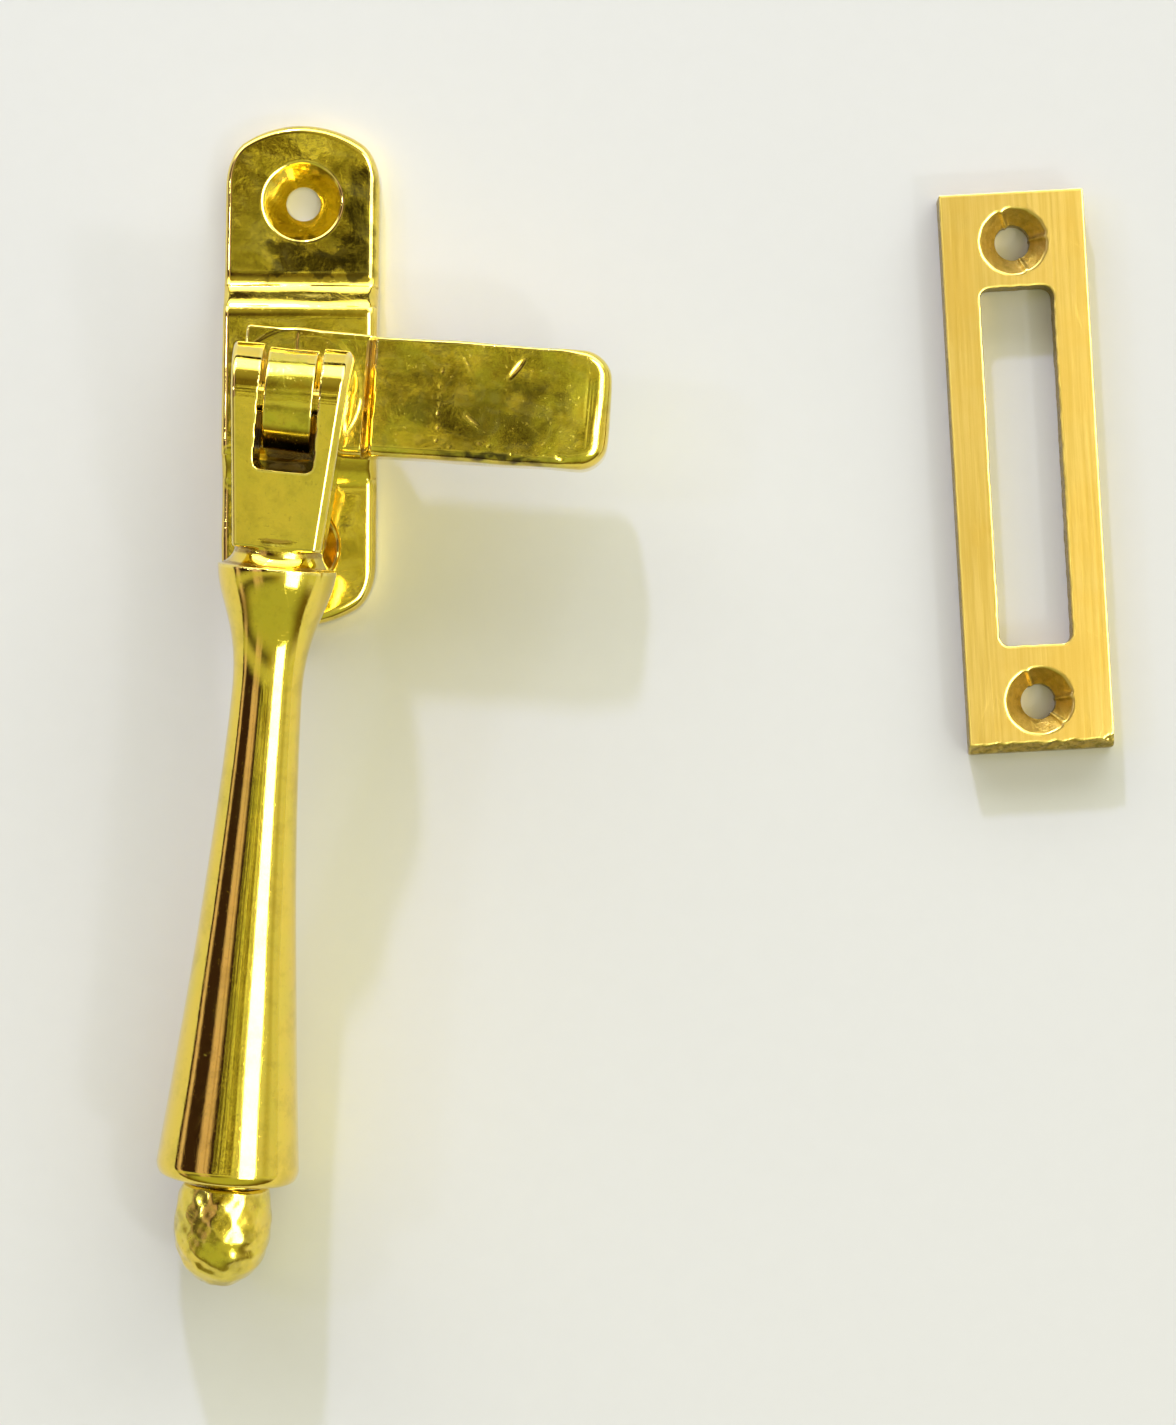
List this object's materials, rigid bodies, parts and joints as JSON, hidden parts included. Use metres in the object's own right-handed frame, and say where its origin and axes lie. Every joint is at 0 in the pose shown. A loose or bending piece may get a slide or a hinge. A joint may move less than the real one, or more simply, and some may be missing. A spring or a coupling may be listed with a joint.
{
  "type": "casement window fastener",
  "caption": "Brass casement fastener: bridge back plate, tongue turning on a riveted spindle, hinged flared handle with ball end, and a slotted mortice plate.",
  "frame": {"origin": "on the spindle's axis, in the plane of the back plate's mounting face", "axes": "+X from the fastener towards the window frame and the mortice plate, +Y towards the back plate's upper end, +Z out from the sash, along the spindle"},
  "size_m": [0.0974, 0.1193, 0.0217],
  "materials": {
    "polished_brass": "polished, with fine scratches",
    "satin_brass": "satin, brushed lengthwise",
    "spring_steel": "satin"
  },
  "bodies": {
    "plates": {"back_plate": "polished_brass", "mortice_plate": "satin_brass", "spring_washer": "spring_steel", "rear_washer": "polished_brass"},
    "turning_tongue": {"tongue": "polished_brass", "pivot_spindle": "polished_brass", "hinge_pin": "polished_brass"},
    "hinged_handle": {"handle": "polished_brass", "finial_knob": "polished_brass"}
  },
  "joints": [
    {"name": "tongue_turn", "type": "hinge", "parent": "plates", "child": "turning_tongue", "pos_m": [0, 0, 0], "axis": [0, 0, 1], "range_deg": [-85.5, 4.5]},
    {"name": "handle_lift", "type": "hinge", "parent": "turning_tongue", "child": "hinged_handle", "pos_m": [-0.00012, -0.0015, 0.0162], "axis": [-0.9969, 0.0785, 0], "range_deg": [0, 97]}
  ]
}
